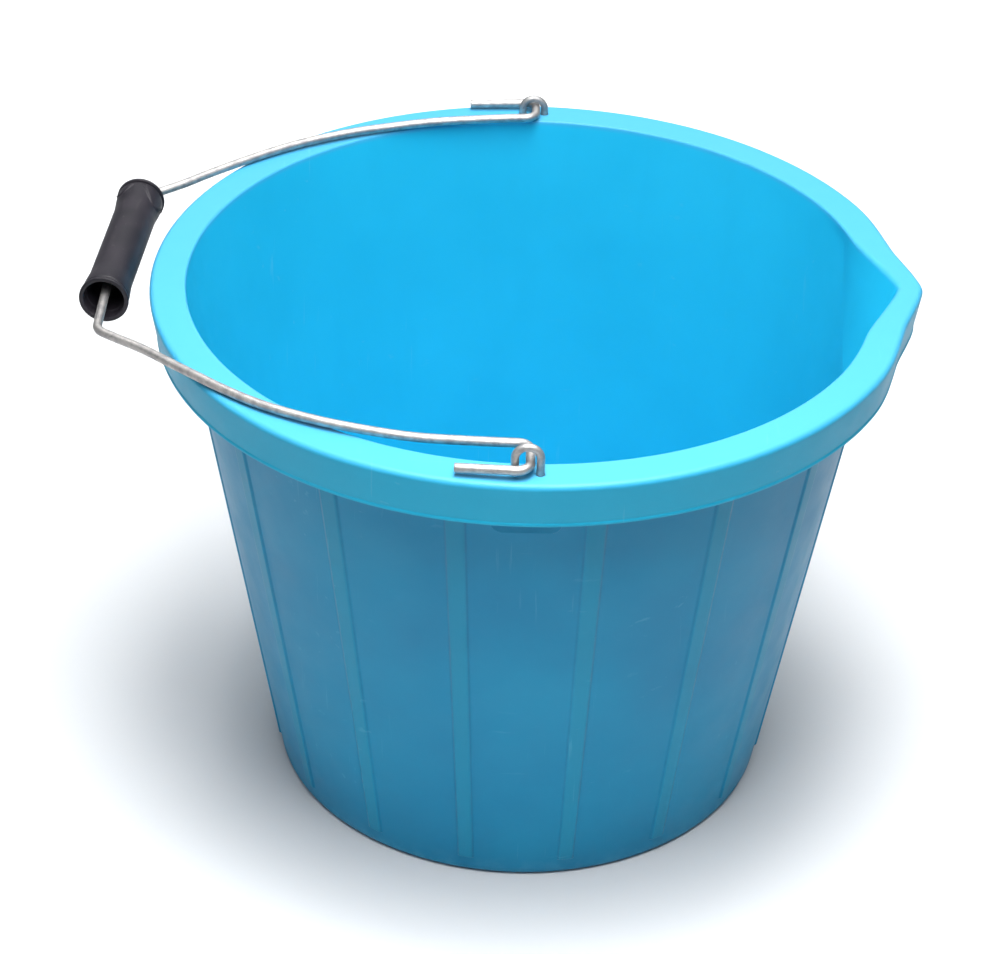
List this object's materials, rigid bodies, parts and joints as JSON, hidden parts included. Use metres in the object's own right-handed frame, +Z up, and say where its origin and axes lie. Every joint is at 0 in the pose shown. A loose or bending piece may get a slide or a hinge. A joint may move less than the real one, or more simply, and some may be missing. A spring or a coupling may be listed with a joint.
{
  "type": "builder's bucket",
  "caption": "Tapered plastic bucket with a pouring lip, outside ribs, a flat rim with a skirt, and a wire bail with a plastic grip, hinged in wire staples.",
  "frame": {"origin": "middle of the underside of the base, on the bucket's axis, at the height the bucket stands on", "axes": "+Z up along the bucket's axis; +X towards the pouring lip; the two staples are at -Y (right) and +Y (left); the bail lies on the rim with its grip beyond the back, at -X"},
  "size_m": [0.3737, 0.343, 0.2644],
  "materials": {
    "bucket_plastic": "satin polypropylene",
    "staple_wire": "galvanised",
    "bail_wire": "galvanised",
    "grip_plastic": "satin, lightly scuffed"
  },
  "bodies": {
    "bucket": {"bucket": "bucket_plastic", "staple_right": "staple_wire", "staple_left": "staple_wire"},
    "bail": {"bail_wire": "bail_wire"},
    "grip": {"grip": "grip_plastic"}
  },
  "joints": [
    {"name": "bail_swing", "type": "hinge", "parent": "bucket", "child": "bail", "pos_m": [0.0011, 0, 0.25385], "axis": [0, 1, -0.0034], "range_deg": [0, 180.5]},
    {"name": "grip_spin", "type": "hinge", "parent": "bail", "child": "grip", "pos_m": [-0.1874, -0.031, 0.2502], "axis": [0.0663, 0.9978, 0], "continuous": true}
  ]
}
